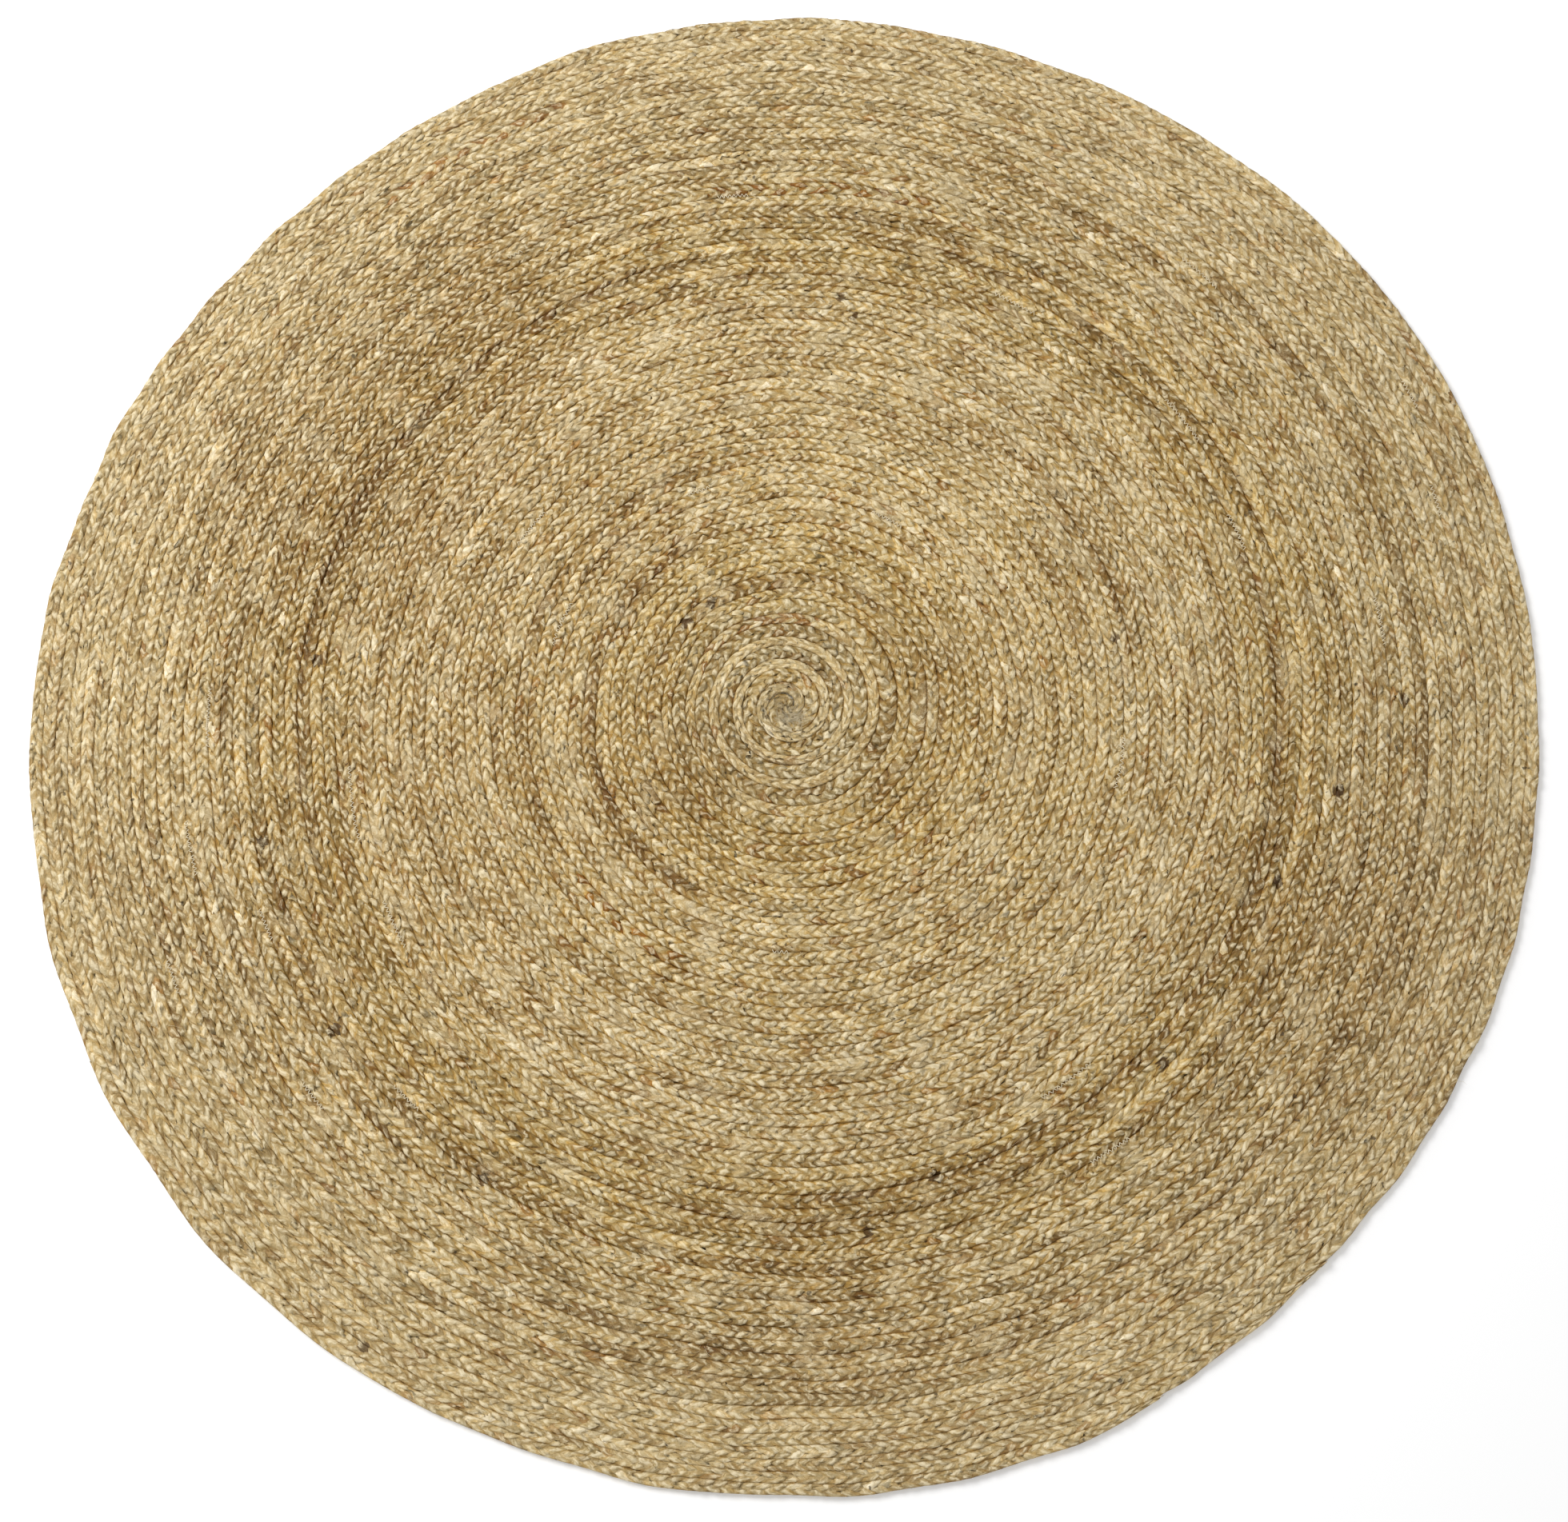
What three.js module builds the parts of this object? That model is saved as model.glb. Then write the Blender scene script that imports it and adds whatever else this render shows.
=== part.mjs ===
// A round jute rug: two flat plaits, wound side by side from the centre outwards and sewn together.
// Millimetres, +Z up. The origin is the start of the winding, on the underside.
import * as THREE from "three";

// Driving dimensions
const pairWidth = 25; // two 12.5 mm plaits: each turn of the winding adds this to the radius
const innerRim = 738.2; // rim radius just past the plaits' sewn-down ends
const thickness = 9;
const rimRounding = 4; // the outermost plait has a rounded side
const rimStepDegrees = 1.5;
const roundingSteps = 3;

// A hand-wound rug is not a true round: slow lobes stand out from the mean rim.
// waves is how many a full turn holds, rise their height, azimuth the first crest in degrees.
const lobes = [
  { waves: 1, rise: 4.2, azimuth: 75 },
  { waves: 2, rise: 6.5, azimuth: 19 },
  { waves: 3, rise: 2.7, azimuth: 68 },
  { waves: 4, rise: 1.1, azimuth: 15 },
  { waves: 5, rise: 1.7, azimuth: 18 },
  { waves: 6, rise: 1.3, azimuth: 29 },
];

// The outer plait ends first, and the inner one narrows to a tail sewn down along the turn before.
// azimuth is in degrees, width is what is left of the pair there.
const tail = [
  { azimuth: 281, width: pairWidth },
  { azimuth: 292, width: 10.5 },
  { azimuth: 300, width: 5 },
  { azimuth: 304.5, width: 0 },
];
const windingEnd = tail[tail.length - 1].azimuth;

const jute = new THREE.MeshStandardMaterial({ color: 0xb39b6d, roughness: 0.85, metalness: 0 });

function unevenness(azimuth) {
  return lobes.reduce((sum, { waves, rise, azimuth: crest }) => {
    return sum + rise * Math.cos(THREE.MathUtils.degToRad(waves * (azimuth - crest)));
  }, 0);
}

function tailWidth(azimuth) {
  if (azimuth <= tail[0].azimuth) return tail[0].width;
  const next = tail.findIndex((row) => row.azimuth >= azimuth);
  const from = tail[next - 1];
  const to = tail[next];
  const eased = THREE.MathUtils.smoothstep(azimuth, from.azimuth, to.azimuth);
  return THREE.MathUtils.lerp(from.width, to.width, eased);
}

// azimuth runs from the winding's end on the turn before, up to the same end one turn later.
function rimRadius(azimuth) {
  const turned = (azimuth - (windingEnd - 360)) / 360;
  const missing = pairWidth - tailWidth(azimuth);
  return innerRim + pairWidth * turned - missing + unevenness(azimuth);
}

function rimOutline() {
  const steps = Math.round(360 / rimStepDegrees);
  const points = Array.from({ length: steps }, (_, i) => {
    const azimuth = windingEnd - 360 + (i + 0.5) * rimStepDegrees;
    const angle = THREE.MathUtils.degToRad(azimuth);
    const radius = rimRadius(azimuth);
    return new THREE.Vector2(radius * Math.cos(angle), radius * Math.sin(angle));
  });
  return new THREE.Shape(points);
}

function plaitedRug() {
  const geometry = new THREE.ExtrudeGeometry(rimOutline(), {
    depth: thickness - 2 * rimRounding,
    bevelEnabled: true,
    bevelThickness: rimRounding,
    bevelSize: rimRounding,
    bevelOffset: -rimRounding,
    bevelSegments: roundingSteps,
    curveSegments: 1,
  });
  const mesh = new THREE.Mesh(geometry, jute);
  mesh.name = "plaited_rug";
  mesh.position.z = rimRounding;
  return mesh;
}

const group = new THREE.Group();
group.name = "round_jute_rug";
group.add(plaitedRug());

export default group;
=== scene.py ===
"""Round jute rug: two flat three-strand plaits, wound side by side in one flat spiral.

Lengths are in millimetres until a mesh is made, which is in metres. The rug lies on the
floor, its middle is the origin and +Z is up. Turns of the winding are counted from the
middle outwards, and they run counterclockwise.
"""
import math

import bpy
import numpy as np
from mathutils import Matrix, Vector


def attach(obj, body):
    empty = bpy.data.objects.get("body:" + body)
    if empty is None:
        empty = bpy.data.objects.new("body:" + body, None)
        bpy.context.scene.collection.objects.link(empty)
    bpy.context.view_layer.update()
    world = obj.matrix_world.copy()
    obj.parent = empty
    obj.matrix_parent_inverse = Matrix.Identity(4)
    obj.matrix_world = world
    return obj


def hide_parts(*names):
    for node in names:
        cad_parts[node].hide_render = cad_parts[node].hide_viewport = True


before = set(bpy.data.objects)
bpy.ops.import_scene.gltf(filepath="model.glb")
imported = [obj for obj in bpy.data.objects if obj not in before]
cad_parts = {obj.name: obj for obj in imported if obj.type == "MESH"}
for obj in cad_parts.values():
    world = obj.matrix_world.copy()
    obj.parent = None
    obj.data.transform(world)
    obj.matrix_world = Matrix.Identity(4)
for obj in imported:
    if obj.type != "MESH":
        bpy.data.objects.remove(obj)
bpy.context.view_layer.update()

MM = 0.001
BODY = "root"
NODE = "plaited_rug"

# ---- the winding; rim, thickness, tail and lobes are as in the CAD part ----
START_AZIMUTH = -7.2  # degrees, where the count of turns begins
FIRST_PITCH = 26.885  # mm that the first turn adds to the radius
PITCH_LOSS = 0.0454  # mm, half of what each turn's pitch is less than the one before
WINDING_END = 28.866  # turns, where the tail of the inner plait runs out
INNER_RIM = 738.2  # mm
THICKNESS = 9.0  # mm
TAIL = (  # azimuth in degrees, share of the pair's width that is left
    (281.0, 1.0),
    (292.0, 0.42),
    (300.0, 0.2),
    (304.5, 0.05),
)
LOBES = (  # waves round the rim, rise in mm, azimuth of a crest
    (1, 4.2, 75),
    (2, 6.5, 19),
    (3, 2.7, 68),
    (4, 1.1, 15),
    (5, 1.7, 18),
    (6, 1.3, 29),
)
LOBE_FADE = 5  # power of the radius with which the unevenness dies away inwards
LOBE_LIMIT = 1.04  # it doesn't grow past this share of the inner rim

# ---- the middle, in mm ----
HEART_OFFSET = (-6.5, 3.5)  # the first turns lie this far off centre
OFFSET_FADE = (70.0, 140.0)  # radii between which the rows come back to the centre
HEART_SPREAD = 6.5  # the first turns are this much wider than the winding's rule
SPREAD_FADE = (15.0, 88.0)  # radii between which they come back to it
HEART_EYE = (0.5, 1.1)  # least radius of a plait's inner and outer edge
TIGHTEST_BEND = 5.0  # radius by which the first stitches are counted

# ---- the plaits ----
SIDES = (0, 1)  # 0 is the inner plait of the pair and 1 the outer one
PLAIT_START = (-0.56, -1.12)  # turns, for each plait
PLAIT_END = (WINDING_END, 28.822)
SEAM_GAP = -0.3  # mm, less than nothing because the edges press into each other
STITCH_LENGTHS = ((100.0, 12.2), (700.0, 14.4))  # radius, length of a stitch along the run
INNER_SHARE = (0.4, 0.5)  # of the pair's width, at the middle and further out
SHARE_TURNS = (3.0, 7.5)  # over which that share changes
LEAST_SHARE = 0.05  # of the pair's width, for an outer plait that is running out
FLIPS = (  # for each plait, the turns where its zigzag turns round
    (17.6, 20.6, 22.6),
    (12.6, 17.2, 20.6, 24.6),
)
TABLE_STEP = 1 / 720  # turns
FIRST_CUT = 1.62  # turns, where the first piece ends
CUT_STEP = 1.0172  # turns in each further piece, so that the joins don't line up

# ---- the grid of points: rows across a plait, columns along each stitch ----
TOP_ROWS = 10
TOP_COLUMNS = 3
BOTTOM_ROWS = 5
BOTTOM_COLUMNS = 2

# ---- camera and light, in metres and degrees ----
CAMERA_PLACE = (-0.07695, -0.4041, 1.92615)
CAMERA_TARGET = (-0.0185, -0.0507, 0.0045)
CAMERA_LENS = 45.19  # mm, on a sensor 36 mm wide
SKY_STRENGTH = 0.75
LAMP_WATTS = 84.0
LAMP_SIZE = 1.5
LAMP_AZIMUTH = 138.0
LAMP_ELEVATION = 48.0
LAMP_DISTANCE = 3.5
FLOOR_SIZE = 14.0


def smoothstep(low, high, x):
    """0 up to low, 1 from high, and a soft S between them."""
    t = np.clip((x - low) / (high - low), 0.0, 1.0)
    return t * t * (3 - 2 * t)


def linear(red, green, blue):
    """A display colour of 0 to 255 as linear light."""
    c = np.array([red, green, blue]) / 255
    return np.where(c <= 0.04045, c / 12.92, ((c + 0.055) / 1.055) ** 2.4)


# ---- camera, floor and light ----


def make_camera():
    camera = bpy.data.objects.new("camera", bpy.data.cameras.new("camera"))
    bpy.context.scene.collection.objects.link(camera)
    camera.location = CAMERA_PLACE
    look = Vector(CAMERA_TARGET) - camera.location
    camera.rotation_euler = look.to_track_quat("-Z", "Y").to_euler()
    camera.data.sensor_width = 36.0
    camera.data.lens = CAMERA_LENS
    camera.data.clip_start = 0.05
    camera.data.clip_end = 30.0
    bpy.context.scene.camera = camera


def make_floor():
    bpy.ops.mesh.primitive_plane_add(size=FLOOR_SIZE, location=(0, 0, 0))
    floor = bpy.context.object
    floor.name = "floor"
    paint = bpy.data.materials.new("floor_white")
    paint.use_nodes = True
    shader = paint.node_tree.nodes["Principled BSDF"]
    shader.inputs["Base Color"].default_value = (0.95, 0.95, 0.95, 1)
    shader.inputs["Roughness"].default_value = 0.95
    shader.inputs["Specular IOR Level"].default_value = 0.0
    floor.data.materials.append(paint)


def make_light():
    world = bpy.context.scene.world or bpy.data.worlds.new("world")
    bpy.context.scene.world = world
    world.use_nodes = True
    sky = world.node_tree.nodes["Background"]
    sky.inputs["Color"].default_value = (1, 1, 1, 1)
    sky.inputs["Strength"].default_value = SKY_STRENGTH
    lamp = bpy.data.lights.new("studio_lamp", "AREA")
    lamp.shape = "DISK"
    lamp.size = LAMP_SIZE
    lamp.energy = LAMP_WATTS
    holder = bpy.data.objects.new("studio_lamp", lamp)
    bpy.context.scene.collection.objects.link(holder)
    azimuth = math.radians(LAMP_AZIMUTH)
    elevation = math.radians(LAMP_ELEVATION)
    holder.location = (
        LAMP_DISTANCE * math.cos(azimuth) * math.cos(elevation),
        LAMP_DISTANCE * math.sin(azimuth) * math.cos(elevation),
        LAMP_DISTANCE * math.sin(elevation),
    )
    holder.rotation_euler = (-holder.location).to_track_quat("-Z", "Y").to_euler()


# ---- the path of the winding ----


def winding_radius(turns):
    """Radius in mm of the pair's inner edge after this many turns, before any unevenness."""
    return FIRST_PITCH * turns - PITCH_LOSS * np.square(np.maximum(turns, 0))


def azimuth_at(turns):
    return START_AZIMUTH + 360 * turns


def stitch_length(radius):
    (near, short), (far, long) = STITCH_LENGTHS
    return np.interp(radius, (near, far), (short, long))


# For each plait, five waves of slack: share of a stitch's length, waves a turn, and phase.
PULL_WAVES = np.random.default_rng(3).uniform((0.02, 3, 0), (0.05, 29, 360), (2, 5, 3))


def pull(side, turns):
    """How much longer than usual the stitches are, where a plait was pulled or left slack."""
    return 1 + sum(
        share * np.sin(np.radians(360 * waves * turns + phase))
        for share, waves, phase in PULL_WAVES[side]
    )


def inner_share(turns):
    middle, further = INNER_SHARE
    return middle + (further - middle) * smoothstep(*SHARE_TURNS, turns)


def tail_share(turns):
    """Share of the pair's width that is left on the last turn."""
    whole_turns = math.floor(WINDING_END)
    azimuths, shares = zip(*TAIL)
    return np.interp(azimuth_at(turns - whole_turns), azimuths, shares)


def plait_edges(side, turns):
    """Inner and outer edge of a plait, as shares of the pair's width."""
    share = inner_share(turns)
    left = tail_share(turns)
    if side == 0:
        return np.zeros_like(turns), np.minimum(share, left)
    return share, np.maximum(left, share + LEAST_SHARE)


def unevenness(azimuth):
    """How far the rim stands out of a true round, in mm."""
    return sum(
        rise * np.cos(waves * np.radians(azimuth - crest)) for waves, rise, crest in LOBES
    )


def plane_waves(waves, x, y):
    """Sum of flat waves over the floor, each given by its length in mm, heading and phase."""
    total = np.zeros_like(x)
    for length, heading, phase in waves:
        along = x * math.cos(math.radians(heading)) + y * math.sin(math.radians(heading))
        total += np.sin(2 * math.pi * along / length + math.radians(phase))
    return total


STRAY_WAVES = np.random.default_rng(11).uniform((80, 0, 0), (210, 360, 360), (7, 3))
STRAY_RISE = 0.5  # mm in each wave, the same for rows that touch
STRAY_START = (40.0, 120.0)  # radii in mm between which the rows begin to stray


def heart_spread(radius):
    return HEART_SPREAD * (1 - smoothstep(*SPREAD_FADE, radius))


def tabulate(side):
    """Turns and counted stitches along a plait."""
    turns = np.arange(PLAIT_START[side], PLAIT_END[side] + TABLE_STEP, TABLE_STEP)
    inner, outer = plait_edges(side, turns)
    middle = winding_radius(turns + (inner + outer) / 2)
    radius = np.maximum(middle + heart_spread(middle), TIGHTEST_BEND)
    run = 2 * math.pi * radius * TABLE_STEP
    passed = np.cumsum(run / stitch_length(radius) / pull(side, turns))
    return turns, np.concatenate(([0.0], passed[:-1]))


STITCH_COUNTS = [tabulate(side) for side in SIDES]


def stitches_at(side, turns):
    return np.interp(turns, *STITCH_COUNTS[side])


def turns_at(side, stitches):
    turns, counted = STITCH_COUNTS[side]
    return np.interp(stitches, counted, turns)


def place(side, stitches, across):
    """Where a point of a plait lies, x and y in mm. across runs from 0 at the inner edge to 1."""
    turns = turns_at(side, stitches)
    inner, outer = plait_edges(side, turns)
    width = (outer - inner) * FIRST_PITCH
    gap = SEAM_GAP / 2 / width
    share = inner + (outer - inner) * (gap + (1 - 2 * gap) * across)
    plain = winding_radius(turns + share)
    azimuth = azimuth_at(turns)
    angle = np.radians(azimuth)
    fade = np.clip(plain / INNER_RIM, 0, LOBE_LIMIT) ** LOBE_FADE
    least_inner, least_outer = HEART_EYE
    least = least_inner + (least_outer - least_inner) * across
    radius = np.maximum(plain + heart_spread(plain), least)
    radius = radius + fade * unevenness(azimuth)
    x, y = radius * np.cos(angle), radius * np.sin(angle)
    stray = STRAY_RISE * plane_waves(STRAY_WAVES, x, y) * smoothstep(*STRAY_START, plain)
    offset = 1 - smoothstep(*OFFSET_FADE, plain)
    x = x + stray * np.cos(angle) + offset * HEART_OFFSET[0]
    y = y + stray * np.sin(angle) + offset * HEART_OFFSET[1]
    return x, y


def zigzag(side, stitches):
    """1 where the strands lean one way and -1 where the plait was turned round."""
    turns = turns_at(side, np.floor(stitches) + 0.5)
    flips = sum((turns > flip).astype(int) for flip in FLIPS[side])
    return 1 - 2 * (flips % 2)


# ---- the stitch pattern ----

# Points of one stitch of the inner column, in steps along the strand from where it comes
# out and steps across it: how far each is moved, and how deep it lies under the crown.
STITCH_POINTS = {
    (1, 1): (-0.05, -0.34, 0.5),
    (1, 2): (-0.05, 0.34, 0.8),
    (2, 1): (0.05, -0.36, 0.0),
    (2, 2): (0.05, 0.36, 0.1),
    (3, 1): (0.0, -0.3, 0.3),
    (3, 2): (0.0, 0.3, 0.7),
    (0, 0): (0.0, 0.0, 1.7),
    (3, 0): (0.0, 0.0, 2.3),
    (1, 0): (0.0, 0.0, 1.4),
    (2, 0): (0.0, 0.0, 1.5),
    (0, 1): (0.0, 0.0, 1.5),
    (0, 2): (0.0, 0.0, 1.6),
    (1, 3): (0.0, 0.0, 2.1),
    (2, 3): (0.0, 0.0, 2.0),
}
DIP_DEPTH = 1.3  # where the strand goes under the next stitch
RIM_DEPTHS = (2.7, 1.7, 2.0)  # along the plait's edge, for each column
GAP_DEPTH = 2.0  # points as deep as this lie between stitches and don't move with one


def top_tables():
    """Depth and shift of each point of a period, by row and column."""
    depth = np.zeros((TOP_ROWS, TOP_COLUMNS))
    along = np.zeros_like(depth)
    across = np.zeros_like(depth)

    def put(row, sixths, values):
        """sixths is the place along the period, and even rows stand on even sixths."""
        column = ((sixths - row % 2) % 6) // 2
        deep, shift_along, shift_across = values
        depth[row, column] = deep
        along[row, column] = shift_along
        across[row, column] = shift_across
        other = TOP_ROWS - 1 - row  # the outer column is the inner one, slid and turned over
        column = ((sixths + 3 - other % 2) % 6) // 2
        depth[other, column] = deep
        along[other, column] = shift_along
        across[other, column] = -shift_across

    for (a, b), (along_strand, across_strand, deep) in STITCH_POINTS.items():
        shift = (along_strand - across_strand) / 6
        put(6 - a - b, a - b, (deep, shift, -(along_strand + across_strand)))
    put(1, 3, (DIP_DEPTH, 0.0, 0.0))
    for column, deep in enumerate(RIM_DEPTHS):
        put(0, 2 * column, (deep, 0.0, 0.0))
    return depth, along, across


DEPTH, SHIFT_ALONG, SHIFT_ACROSS = top_tables()
UNDER_HEIGHT = np.array(  # height of the underside, by row and column
    ((2.0, 2.6), (0.0, 1.8), (1.3, 1.3), (1.8, 0.0), (2.6, 2.0))
)


def leaf_of(lean, along, across):
    """Column, 0 or 1, and number of the stitch that shows at a place. across is 0 to 1."""
    u = along * lean
    s = across * 3
    nearest = np.round(u)
    inner_middle = np.abs(u - nearest) < (2 - s) / 2
    number = np.where(s < 1, np.floor(u + s / 2), np.where(inner_middle, nearest, np.floor(u)))
    outer = (s > 2) | ((s >= 1) & ~inner_middle)
    number = np.where(s > 2, np.floor(u - 0.5 + (3 - s) / 2), number)
    return outer.astype(int), (number * lean).astype(int)


# How each stitch differs from the rest: by plait, by column and by its number.
LEAF_COUNT = 7000  # more than any column has
leaf_random = np.random.default_rng(5)
LEAF_LIFT = leaf_random.normal(0, 0.5, (2, 2, LEAF_COUNT))  # mm
LEAF_SWAY = leaf_random.normal(0, 0.1, (2, 2, LEAF_COUNT))  # of a stitch's length
LEAF_TONE = leaf_random.normal(0, 1, (2, 2, LEAF_COUNT))
LEAF_HUE = leaf_random.normal(0, 1, (2, 2, LEAF_COUNT))
LEAF_PATCH = leaf_random.uniform(0, 1, (2, 2, LEAF_COUNT, 2))
LEAF_CHANCE = leaf_random.uniform(0, 1, (2, 2, LEAF_COUNT))

# How each point strays: along, across and in height.
JITTER = np.random.default_rng(41).normal(0, 1, (3, 2, TOP_ROWS, TOP_COLUMNS * LEAF_COUNT))
JITTER_ALONG = 0.085  # of a stitch's length
JITTER_ACROSS = 0.062  # of the plait's width
JITTER_HEIGHT = 0.3  # mm
TANGLE = 0.5  # how much more the points stray in the middle
TANGLE_TURNS = (0.8, 2.4)  # over which the tangled middle becomes an even plait

# Wear: 0 where the stitches stand crisp and 1 where they are flattened.
WEAR_WAVES = np.random.default_rng(23).uniform((22, 0, 0), (95, 360, 360), (11, 3))
WEAR_RANGE = (1.6, 4.4)  # sums of the waves between which a patch begins and is full
PATCH_WEAR = 0.75
RIM_WEAR = 0.32
RIM_TURNS = (21.0, 28.0)  # over which the outer turns get flatter than the rest
HEART_WEAR = (0.65, 0.0)  # at the middle the inner plait is smooth and the outer one crisp
HEART_TURNS = (1.8, 4.6)  # over which that ends
CRISP_RELIEF = 1.1  # depth of the pattern as a share of the depths above
WORN_RELIEF_LOSS = 0.6
WORN_SINK = 0.4  # mm


def flatness(side, turns, x, y):
    """The wear of a plait, in soft patches."""
    patches = PATCH_WEAR * smoothstep(*WEAR_RANGE, plane_waves(WEAR_WAVES, x, y))
    worn = np.maximum(patches, RIM_WEAR * smoothstep(*RIM_TURNS, turns))
    young = 1 - smoothstep(*HEART_TURNS, turns)
    return worn * (1 - young) + HEART_WEAR[side] * young


def top_points(side, first, last):
    """Points of the upper face, row by row: x, y and z in mm, and the wear at each."""
    columns = np.arange(TOP_COLUMNS * first, TOP_COLUMNS * last + 1)
    points, wears = [], []
    for row in range(TOP_ROWS):
        along = (columns + 0.5 * (row % 2)) / TOP_COLUMNS
        lean = zigzag(side, along)
        column = np.where(lean > 0, columns, -columns - row % 2) % TOP_COLUMNS
        deep = DEPTH[row, column]
        level = row / (TOP_ROWS - 1)
        tangled = 1 + TANGLE - TANGLE * smoothstep(*TANGLE_TURNS, turns_at(side, along))
        jitter = JITTER[:, side, row, columns] * tangled
        inside = 4 * level * (1 - level)
        across = level + SHIFT_ACROSS[row, column] / (TOP_ROWS - 1)
        across = across + inside * JITTER_ACROSS * jitter[1]
        shifted = along + lean * SHIFT_ALONG[row, column] + JITTER_ALONG * jitter[0]
        kind, number = leaf_of(lean, along, np.full_like(along, level))
        raised = np.where(deep < GAP_DEPTH, LEAF_LIFT[side, kind, number], 0)
        shifted = shifted + np.where(deep < GAP_DEPTH, LEAF_SWAY[side, kind, number], 0)
        x, y = place(side, shifted, across)
        worn = flatness(side, turns_at(side, along), x, y)
        drop = deep * (CRISP_RELIEF - WORN_RELIEF_LOSS * worn)
        z = THICKNESS - WORN_SINK * worn + raised - drop + JITTER_HEIGHT * jitter[2]
        points.append(np.stack((x, y, z), 1))
        wears.append(worn)
    return points, wears


def bottom_points(side, first, last):
    """Points of the underside, row by row. The lowest of them touch the floor."""
    columns = np.arange(BOTTOM_COLUMNS * first, BOTTOM_COLUMNS * last + 1)
    points = []
    for row in range(1, BOTTOM_ROWS + 1):
        along = (columns + 0.5 * (row % 2)) / BOTTOM_COLUMNS
        lean = zigzag(side, along)
        column = np.where(lean > 0, columns, -columns - row % 2) % BOTTOM_COLUMNS
        across = np.full_like(along, row / (BOTTOM_ROWS + 1))
        x, y = place(side, along, across)
        points.append(np.stack((x, y, UNDER_HEIGHT[row - 1, column]), 1))
    return points


def strip_faces(low, high, low_is_odd, upward):
    """Triangles between two rows of points, given by their indices."""
    a, b = low[:-1], low[1:]
    c, d = high[:-1], high[1:]
    if low_is_odd:
        faces = np.concatenate((np.stack((a, d, c), 1), np.stack((a, b, d), 1)))
    else:
        faces = np.concatenate((np.stack((a, b, c), 1), np.stack((b, d, c), 1)))
    return faces[:, ::-1] if upward else faces


def side_faces(rim, under, outward):
    """Triangles between a rim of three points a stitch and an underside row of two."""
    count = (len(rim) - 1) // TOP_COLUMNS
    high = [rim[k::TOP_COLUMNS][:count] for k in range(TOP_COLUMNS)]
    high.append(rim[TOP_COLUMNS::TOP_COLUMNS])
    low = [under[k::BOTTOM_COLUMNS][:count] for k in range(BOTTOM_COLUMNS)]
    low.append(under[BOTTOM_COLUMNS::BOTTOM_COLUMNS])
    corners = (
        (high[0], low[0], high[1]),
        (high[1], low[0], low[1]),
        (high[1], low[1], high[2]),
        (high[2], low[1], high[3]),
        (high[3], low[1], low[2]),
    )
    faces = np.concatenate([np.stack(three, 1) for three in corners])
    return faces if outward else faces[:, ::-1]


def run_length(side, first, last):
    """Length in mm of a plait's middle line."""
    along = np.linspace(first, last, TOP_COLUMNS * (last - first) + 1)
    x, y = place(side, along, np.full_like(along, 0.5))
    return float(np.hypot(np.diff(x), np.diff(y)).sum())


def plait_shell(side, first, last):
    """One closed length of a plait, from stitch number first to last."""
    top, wears = top_points(side, first, last)
    bottom = bottom_points(side, first, last)
    rows = top + bottom
    starts = np.concatenate(([0], np.cumsum([len(row) for row in rows])))
    index = [np.arange(len(row)) + start for row, start in zip(rows, starts)]
    upper, under = index[:TOP_ROWS], index[TOP_ROWS:]
    top_faces = [
        strip_faces(upper[k], upper[k + 1], k % 2 == 1, True) for k in range(TOP_ROWS - 1)
    ]
    other_faces = [
        strip_faces(under[k], under[k + 1], (k + 1) % 2 == 1, False)
        for k in range(BOTTOM_ROWS - 1)
    ]
    other_faces.append(side_faces(upper[0], under[0], False))
    other_faces.append(side_faces(upper[-1], under[-1], True))
    loop_end = [row[-1] for row in upper] + [row[-1] for row in reversed(under)]
    loop_start = [row[0] for row in upper] + [row[0] for row in reversed(under)]

    stitches, across = [], []
    for k, row in enumerate(top):
        stitches.append((np.arange(len(row)) + 0.5 * (k % 2)) / TOP_COLUMNS + first)
        across.append(np.full(len(row), k / (TOP_ROWS - 1)))
    for k, row in enumerate(bottom, 1):
        stitches.append((np.arange(len(row)) + 0.5 * (k % 2)) / BOTTOM_COLUMNS + first)
        across.append(np.full(len(row), k / (BOTTOM_ROWS + 1)))
    return {
        "side": side,
        "points": np.concatenate(rows),
        "worn": np.concatenate(wears + [np.zeros(len(row)) for row in bottom]),
        "faces": np.concatenate(top_faces + other_faces),
        "top_count": sum(len(strip) for strip in top_faces),
        "caps": [loop_end, loop_start[::-1]],
        "stitches": np.concatenate(stitches),
        "across": np.concatenate(across),
        "first": first,
        "last": last,
        "run": run_length(side, first, last),
    }


# ---- colour of each stitch ----

# The jute's own colours, and the colours of painted shade and painted highlight.
STRAW = linear(193, 172, 126)
TAN = linear(181, 160, 115)
GREY = linear(170, 154, 120)
BROWN = linear(152, 116, 60)
RUST = linear(138, 90, 12)
# pale jute, and also the painted highlight on the crowns of stitches
PALE_AND_HIGHLIGHT = linear(222, 208, 174)
HOLE_SHADOW = linear(82, 56, 18)  # painted shadow of holes between the strands
GROOVE_SHADE = linear(72, 42, 7)  # painted shade in the gaps between stitches
FUZZ = linear(196, 178, 140)  # felted fibre
THREAD = linear(232, 222, 196)
BARK = np.array((0.06, 0.04, 0.02))
SLOPE_SHADE = np.array((0.84, 0.67, 0.33))  # painted shade: how a stitch darkens towards its edges
WARM = np.array((1.04, 0.99, 0.8))
TONE_POWERS = (0.88, 1.0, 1.4)  # darker jute is more golden and paler jute less so
TONE_LIMITS = (0.45, 1.35)
MIDDLE_PAINTED_LIGHT = 0.06  # painted light: how much paler the middle of a plait is made, where the strands cross and many stitch edges lie close
MIDDLE_BAND = (0.06, 0.2)  # from the middle line, as shares of the plait's width
CAP_TONE = 0.8  # the cut ends of a turn, which don't show
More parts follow.
